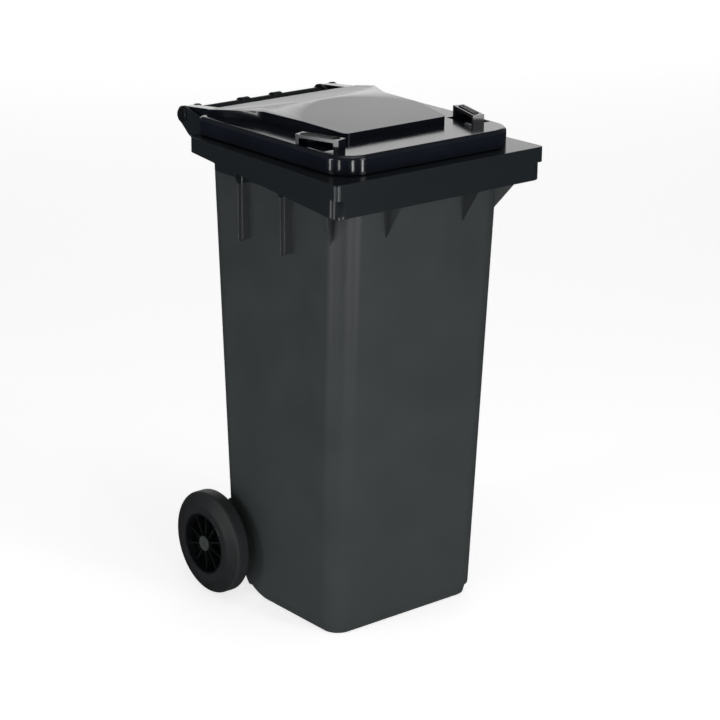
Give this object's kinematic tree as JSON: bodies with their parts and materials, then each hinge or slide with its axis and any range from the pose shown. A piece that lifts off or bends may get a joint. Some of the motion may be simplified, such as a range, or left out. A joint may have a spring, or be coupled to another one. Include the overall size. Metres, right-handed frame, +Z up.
{
  "type": "wheelie bin",
  "caption": "Two-wheeled refuse bin with a hinged domed lid, comb collar for lifting, rear handle bar and rubber-tyred wheels on a steel axle.",
  "frame": {"origin": "on the ground, under the middle of the bin's outer box", "axes": "+Z up, the front faces -Y, the hinge and handle are at +Y, the axle lies along X"},
  "size_m": [0.4792, 0.55, 0.9475],
  "materials": {
    "container_hdpe": "injection-moulded HDPE, anthracite, satin",
    "lid_hdpe": "injection-moulded HDPE, anthracite, polished mould",
    "axle_steel": "zinc-plated solid steel bar",
    "pin_plastic": "moulded black plastic",
    "spacer_plastic": "moulded black plastic",
    "hub_plastic": "moulded black polypropylene",
    "tyre_rubber": "solid black rubber",
    "cap_plastic": "moulded grey-green plastic",
    "lock_steel": "turned steel pin",
    "spring_steel": "drawn spring wire"
  },
  "bodies": {
    "container": {"bin_body": "container_hdpe", "axle": "axle_steel", "hinge_pin_left": "pin_plastic", "axle_spacer_left": "spacer_plastic", "hinge_pin_right": "pin_plastic", "axle_spacer_right": "spacer_plastic"},
    "lid": {"lid": "lid_hdpe"},
    "wheel_left": {"wheel_hub_left": "hub_plastic", "tyre_left": "tyre_rubber", "hub_cap_left": "cap_plastic", "lock_spring_left": "spring_steel"},
    "lock_left": {"lock_pin_left": "lock_steel"},
    "wheel_right": {"wheel_hub_right": "hub_plastic", "tyre_right": "tyre_rubber", "hub_cap_right": "cap_plastic", "lock_spring_right": "spring_steel"},
    "lock_right": {"lock_pin_right": "lock_steel"}
  },
  "joints": [
    {"name": "lid_hinge", "type": "hinge", "parent": "container", "child": "lid", "pos_m": [0, 0.258, 0.905], "axis": [-1, 0, 0], "range_deg": [0, 270]},
    {"name": "wheel_left_spin", "type": "hinge", "parent": "container", "child": "wheel_left", "pos_m": [-0.215, 0.131, 0.1], "axis": [1, 0, 0], "continuous": true},
    {"name": "lock_left_release", "type": "slide", "parent": "wheel_left", "child": "lock_left", "axis": [0, 0, 1], "range_m": [0, 0.003], "stiffness_N_per_m": 800, "springref_m": -0.003, "deforming": ["lock_spring_left"]},
    {"name": "wheel_right_spin", "type": "hinge", "parent": "container", "child": "wheel_right", "pos_m": [0.215, 0.131, 0.1], "axis": [1, 0, 0], "continuous": true},
    {"name": "lock_right_release", "type": "slide", "parent": "wheel_right", "child": "lock_right", "axis": [0, 0, 1], "range_m": [0, 0.003], "stiffness_N_per_m": 800, "springref_m": -0.003, "deforming": ["lock_spring_right"]}
  ]
}
